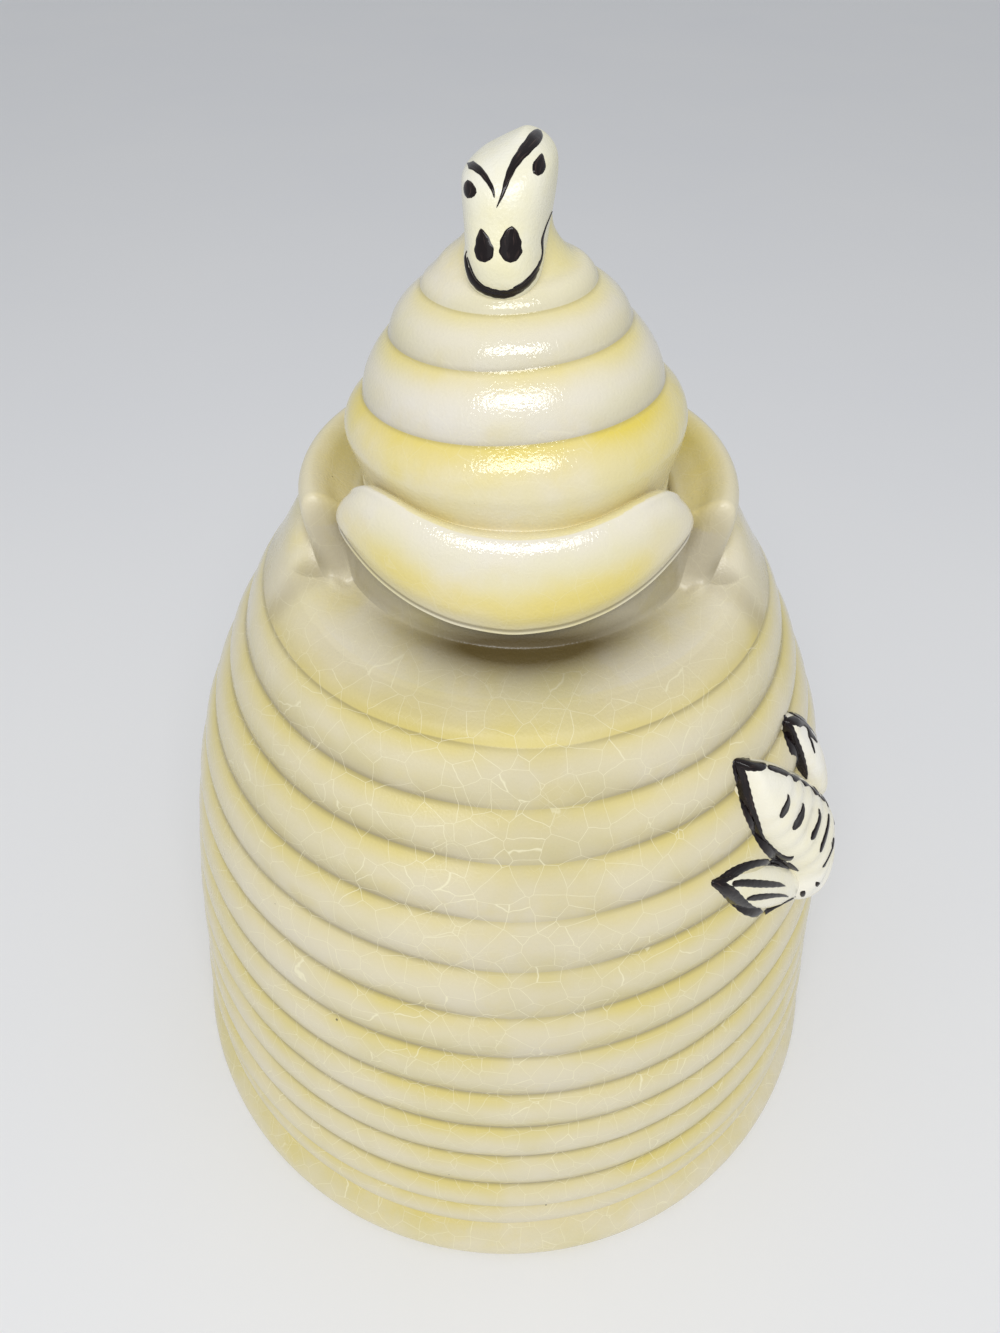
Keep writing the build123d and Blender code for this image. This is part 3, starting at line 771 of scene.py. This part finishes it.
def brush(points):
    """Centre line of a stroke with its widths, evenly spaced, and the distance along it at each row."""
    rows = curve(np.array(points, float)[:, None, :], 12)[:, 0]
    length = travel(rows)
    count = max(8, int(length[-1] / STROKE_STEP))
    even = np.linspace(0, length[-1], count)
    return resample(rows, length, even), even


def stroke(name, points, drop, thick, across, bridge):
    """Domed ribbon of paint laid on a surface, of which drop(a, b) gives a point and its outward normal.

    A jump in the surface is painted over up to the bridge's width, and parts the stroke where it is wider.
    """
    line, along = brush(points)
    tangent = np.gradient(line[:, :2], axis=0)
    tangent /= np.linalg.norm(tangent, axis=1)[:, None] + 1e-9
    side = np.stack([-tangent[:, 1], tangent[:, 0]], -1)
    step = along[1] - along[0]
    sunk = 0.05
    verts, marks, joined, middle = [], [], [], None
    for (a, b, width), (side_a, side_b), length in zip(line, side, along):
        end = min(length, along[-1] - length) / (0.5 * width + 1e-6)
        cap = math.sqrt(np.clip(1 - (1 - min(end, 1)) ** 2, 0, 1))
        half = max(width / 2 * cap * (1 + 0.05 * math.sin(length * 5.3 + a)), 0.015)
        centre = drop(a, b)
        if centre is None:
            middle = None
            continue
        joined.append(middle is not None and (centre[0] - middle).length < 5 * step + bridge)
        middle = centre[0]

        def beside(x):
            found = drop(a + side_a * x * half, b + side_b * x * half)
            return found if found and (found[0] - middle).length < 2.2 * abs(x) * half + bridge / 2 else None

        # on each side, the share of the half width that lies on the same surface as the middle
        reach = [1.0 if beside(sign) else max(0.02, last_true(lambda x: beside(sign * x), 0.0, 1.0, 6))
                 for sign in (-1, 1)]
        for k in range(across):
            x = -1 + 2 * k / (across - 1)
            point, normal = beside(x * (reach[1] if x > 0 else reach[0])) or centre
            lift = -sunk + (thick + sunk) * (1 - x ** 4) * min(1, cap + 0.2)
            verts.append(tuple((point + normal * lift) * MM))
            marks.append((float(length), x))
    faces = [((r - 1) * across + k, r * across + k, r * across + k + 1, (r - 1) * across + k + 1)
             for r, linked in enumerate(joined) if linked for k in range(across - 1)]
    values = {"along": [m[0] for m in marks], "across": [m[1] for m in marks]}
    return new_object(name, verts, faces, values)


def landing(surface, start, towards, reach):
    """Where a ray from the start meets the surface (mm), and the normal there that faces back."""
    hit, normal, _, _ = surface.ray_cast(start * MM, towards, reach)
    if hit is None:
        return None
    return hit / MM, normal if normal.dot(towards) < 0 else -normal


def brush_from_camera(surface, spot):
    """Lays a spot of a plane onto the surface behind it, along the line of sight from the camera's place."""
    eye = Vector(CAMERA_PLACE)
    return lambda a, b: landing(surface, eye, (spot(a, b) - eye).normalized(), 0.4)


def brush_from_above(surface):
    """Lays a place in the bee's frame onto the surface, straight down onto the pot."""
    def drop(a, b):
        start = BEE_ORIGIN + BEE_ALONG * a + BEE_ACROSS * b + BEE_OUT * 20
        return landing(surface, start, -BEE_OUT, 0.05)
    return drop


def bee_paint(pot, bee):
    right, up, _ = camera_axes()
    surface = tree(pot, *bee)
    drop = brush_from_camera(surface, lambda a, b: BEE_ORIGIN + right * a + up * b)
    far_drop = brush_from_above(surface)
    jobs = [(points, drop) for points in BEE_STROKES] + [(points, far_drop) for points in BEE_FAR_STROKES]
    return [stroke(f"bee_stroke_{i}", points, lay, thick=0.17, across=15, bridge=0.9)
            for i, (points, lay) in enumerate(jobs)]


def face_paint(*carriers):
    drop = brush_from_camera(tree(*carriers), lambda a, b: Vector((a, FACE_PLANE, b)))
    return [stroke(f"face_stroke_{i}", points, drop, thick=0.11, across=13, bridge=0.3)
            for i, points in enumerate(FACE_STROKES)]


# ---------- materials
def colour(*seen):
    """Linear colour from the red, green and blue that are seen on screen, 0 to 255."""
    shares = (c / 255 for c in seen)
    return tuple(c / 12.92 if c <= 0.04045 else ((c + 0.055) / 1.055) ** 2.4 for c in shares) + (1.0,)


# painted shade along the groove bottoms and in the collar's crease
GROOVE_SHADE = colour(140, 128, 92)
# painted shadow under the lip, darkened with pooled glaze
SHADOW_AND_POOL = colour(92, 78, 44)
CRACK_LINE = colour(241, 234, 198)
PINHOLE = colour(70, 58, 40)


class Nodes:
    """Small helper to write a node tree as formulas."""

    def __init__(self, name):
        self.material = bpy.data.materials.new(name)
        self.material.use_nodes = True
        self.tree = self.material.node_tree
        self.shader = self.tree.nodes["Principled BSDF"]
        self.where = self.tree.nodes.new("ShaderNodeTexCoord").outputs["Object"]

    def new(self, kind, inputs=(), **settings):
        node = self.tree.nodes.new("ShaderNode" + kind)
        for key, value in settings.items():
            setattr(node, key, value)
        for key, value in inputs:
            self.link(node.inputs[key], value)
        return node

    def link(self, socket, value):
        if isinstance(value, bpy.types.NodeSocket):
            self.tree.links.new(value, socket)
        else:
            socket.default_value = value

    def shade(self, name, value):
        self.link(self.shader.inputs[name], value)

    def math(self, operation, a, b, clamp=False):
        return self.new("Math", ((0, a), (1, b)), operation=operation, use_clamp=clamp).outputs[0]

    def times(self, a, b, clamp=False):
        return self.math("MULTIPLY", a, b, clamp)

    def noise(self, scale, detail=2.0, rough=0.5, where=None):
        inputs = (("Vector", where or self.where), ("Scale", scale), ("Detail", detail), ("Roughness", rough))
        return self.new("TexNoise", inputs).outputs["Fac"]

    def band(self, value, low, high, bottom=0.0, top=1.0):
        range_ends = (("From Min", low), ("From Max", high), ("To Min", bottom), ("To Max", top))
        inputs = (("Value", value), *range_ends)
        return self.new("MapRange", inputs, interpolation_type="SMOOTHSTEP").outputs["Result"]

    def cells(self, where, scale, feature):
        inputs = (("Vector", where), ("Scale", scale), ("Randomness", 1.0))
        return self.new("TexVoronoi", inputs, feature=feature).outputs

    def mark(self, name):
        return self.new("Attribute", attribute_name=name, attribute_type="GEOMETRY").outputs["Fac"]

    def mix(self, share, a, b):
        node = self.new("Mix", data_type="RGBA")
        for key, value in ((0, share), (6, a), (7, b)):
            self.link(node.inputs[key], value)
        return node.outputs[2]

    def moved(self, amount, scale):
        """Coordinates pushed about by noise, so that patterns don't look ruled."""
        inputs = (("Vector", self.where), ("Scale", scale), ("Detail", 2.0))
        push = self.new("TexNoise", inputs).outputs["Color"]
        centred = self.new("VectorMath", ((0, push), (1, (0.5, 0.5, 0.5))), operation="SUBTRACT").outputs[0]
        scaled = self.new("VectorMath", ((0, centred), ("Scale", amount)), operation="SCALE").outputs[0]
        return self.new("VectorMath", ((0, self.where), (1, scaled)), operation="ADD").outputs[0]

    def bump(self, height, strength, distance):
        inputs = (("Height", height), ("Strength", strength), ("Distance", distance))
        self.shade("Normal", self.new("Bump", inputs).outputs[0])


def crackle(n, strength):
    """Crazing in two sizes of net, clearest in front and broken up by noise."""
    where = n.moved(0.0009, 240.0)
    coarse, fine = (n.band(n.cells(where, scale, "DISTANCE_TO_EDGE")["Distance"], 0.0, 0.013, 1.0, 0.0)
                    for scale in (235.0, 440.0))
    front = n.band(n.new("SeparateXYZ", ((0, n.where),)).outputs["Y"], -0.05, 0.0, 1.0, 0.35)
    patchy = n.times(n.band(n.noise(70.0), 0.25, 0.42, 0.4, 1.0), front)
    fine = n.times(fine, n.band(n.noise(110.0), 0.45, 0.62, 0.0, 0.7))
    return n.times(n.math("MAXIMUM", coarse, fine), n.times(patchy, strength))


def pinholes(n):
    """A few small pits, each in a cell of its own and of its own size."""
    pits = n.cells(n.where, 230.0, "F1")
    chance = n.new("SeparateColor", (("Color", pits["Color"]),)).outputs["Red"]
    size = n.band(chance, 0.84, 1.0, 0.0, 0.055)
    return n.times(n.math("LESS_THAN", pits["Distance"], size), 0.8)


def glaze(name, base, pooled, pale, hollow=None, crazing=1.0, matt=0.0):
    """Glossy crackled earthenware glaze. A marked mesh also gets hollow, the colour of its painted shade."""
    n = Nodes(name)
    drift = n.noise(45.0, 3.0, 0.55)
    cloud = n.noise(130.0, 4.0, 0.6)
    rough = n.band(n.noise(320.0, 3.0), 0.3, 0.75, 0.07 + matt, 0.17 + matt)
    seen = n.mix(n.band(drift, 0.35, 0.68), base, pale)
    seen = n.mix(n.times(n.band(cloud, 0.4, 0.75), 0.35), seen, pooled)
    if hollow:
        # thin on the crests, painted shade in hollows, pooled in grooves, painted shade along their bottoms,
        # satin where dull
        seen = n.mix(n.times(n.mark("pale"), n.band(cloud, 0.25, 0.6, 0.35, 0.85)), seen, pale)
        seen = n.mix(n.times(n.mark("shade"), n.band(drift, 0.3, 0.7, 0.75, 0.4)), seen, hollow)
        seen = n.mix(n.times(n.mark("pool"), n.band(drift, 0.25, 0.65, 1.1, 0.65), clamp=True), seen, pooled)
        seen = n.mix(n.times(n.mark("line"), 0.6), seen, GROOVE_SHADE)
        rough = n.math("ADD", rough, n.times(n.mark("dull"), 0.24))
    crack = crackle(n, 0.72 * crazing)
    seen = n.mix(crack, seen, CRACK_LINE)
    # painted shadow under the lip, at its lower edge and on the scoop's walls, mixed with dark pooled glaze
    if hollow:
        seen = n.mix(n.times(n.mark("deep"), 0.93, clamp=True), seen, SHADOW_AND_POOL)
    pit = pinholes(n)
    n.shade("Base Color", n.mix(pit, seen, PINHOLE))
    n.shade("Roughness", rough)
    n.shade("IOR", 1.54)
    # uneven casting, drawn glaze and orange peel, less the cracks and the pits
    height = n.math("ADD", n.times(n.noise(95.0), 0.5), n.times(n.noise(900.0, 3.0, 0.6), 0.045))
    height = n.math("ADD", height, n.times(n.noise(2400.0, 1.0), 0.27))
    height = n.math("SUBTRACT", height, n.times(crack, 0.03))
    n.bump(n.math("SUBTRACT", height, n.times(pit, 0.05)), 0.35, 0.0006)
    return n.material


def paint(name):
    """Brushed brown-black underglaze: dense where it is thick, brown and streaky where the brush ran dry."""
    n = Nodes(name)
    inputs = ((0, n.times(n.mark("along"), 0.16)), (1, n.times(n.mark("across"), 1.6)), (2, n.noise(60.0)))
    streak = n.noise(3.4, 3.0, 0.6, where=n.new("CombineXYZ", inputs).outputs[0])
    thin = n.times(n.band(streak, 0.5, 0.78), n.band(n.noise(90.0), 0.35, 0.7, 0.1, 0.9))
    n.shade("Base Color", n.mix(thin, colour(24, 17, 18), colour(88, 70, 64)))
    n.shade("Roughness", n.band(n.noise(400.0, 3.0), 0.3, 0.7, 0.08, 0.2))
    n.shade("IOR", 1.48)
    n.shade("Specular IOR Level", 0.28)
    n.bump(n.noise(700.0, 3.0), 0.2, 0.0003)
    return n.material


def floor_paint():
    n = Nodes("floor_paint")
    n.shade("Base Color", n.mix(n.noise(6.0, 4.0), colour(234, 234, 236), colour(240, 239, 238)))
    n.shade("Roughness", 0.75)
    return n.material


# ---------- stage
def make_camera():
    right, up, ahead = camera_axes()
    data = bpy.data.cameras.new("view")
    data.sensor_fit = "VERTICAL"
    data.sensor_height = SENSOR_MM
    data.lens = CAMERA_FOCUS_PX * SENSOR_MM / IMAGE_HEIGHT_PX
    data.clip_start = 0.005
    camera = bpy.data.objects.new("view", data)
    bpy.context.scene.collection.objects.link(camera)
    turn = Matrix((right, up, -ahead)).transposed().to_4x4()
    camera.matrix_world = Matrix.Translation(Vector(CAMERA_PLACE) * MM) @ turn
    bpy.context.scene.camera = camera


def area_light(name, place, target, size, power):
    data = bpy.data.lights.new(name, "AREA")
    data.shape = "RECTANGLE"
    data.size, data.size_y = size
    data.energy = power
    lamp = bpy.data.objects.new(name, data)
    bpy.context.scene.collection.objects.link(lamp)
    lamp.location = place
    lamp.visible_camera = False
    lamp.rotation_euler = (Vector(target) - Vector(place)).to_track_quat("-Z", "Y").to_euler()


def make_stage():
    reach = 4.0
    corners = [(-reach, -reach, 0), (reach, -reach, 0), (reach, reach, 0), (-reach, reach, 0)]
    floor = new_object("floor", corners, [(0, 1, 2, 3)])
    floor.data.materials.append(floor_paint())
    world = bpy.data.worlds.new("studio")
    world.use_nodes = True
    background = world.node_tree.nodes["Background"]
    background.inputs["Color"].default_value = (0.93, 0.96, 1.0, 1)
    background.inputs["Strength"].default_value = 0.57
    bpy.context.scene.world = world
    area_light("key", (0.0, -0.42, 0.62), (0, 0, 0.12), (0.5, 0.18), 2.4)
    area_light("fill", (-0.3, -1.1, 0.8), (0, 0, 0.08), (0.9, 0.7), 0.8)


# ---------- the object
def place(obj, body, slot, material, replaced=None):
    obj.data.materials.clear()
    obj.data.materials.append(material)
    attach(obj, body)
    if replaced:
        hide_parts(replaced)


pot = make_pot()
lid = make_lid()
head = make_head()
bee = make_bee()

pot_glaze = glaze("pot_glaze", base=colour(214, 203, 152), pooled=colour(219, 200, 100),
                  pale=colour(221, 212, 186), hollow=colour(174, 162, 132))
lid_glaze = glaze("lid_glaze", base=colour(227, 219, 176), pooled=colour(227, 206, 92),
                  pale=colour(228, 222, 210), hollow=colour(200, 193, 172), crazing=0.45)
bee_glaze = glaze("bee_glaze", base=colour(244, 238, 212), pooled=colour(236, 222, 156),
                  pale=colour(246, 242, 230), crazing=0.3, matt=0.1)
head_glaze = glaze("head_glaze", base=colour(234, 229, 200), pooled=colour(232, 221, 156),
                   pale=colour(238, 235, 222), crazing=0.0, matt=0.16)
ink = paint("brush_paint")

place(pot, "pot", "pot_glaze", pot_glaze, "pot_body")
place(lid, "lid", "lid_glaze", lid_glaze, "lid")
for piece in head:
    place(piece, "lid", "head_glaze", head_glaze, "knob_head")
for piece in face_paint(lid, *head):
    place(piece, "lid", "head_glaze", ink)
for piece, node in zip(bee, ("bee_body", "bee_wing_upper", "bee_wing_lower")):
    place(piece, "pot", "bee_glaze", bee_glaze, node)
for piece in bee_paint(pot, bee):
    place(piece, "pot", "bee_glaze", ink)

make_camera()
make_stage()
bpy.context.scene.view_settings.view_transform = "Standard"
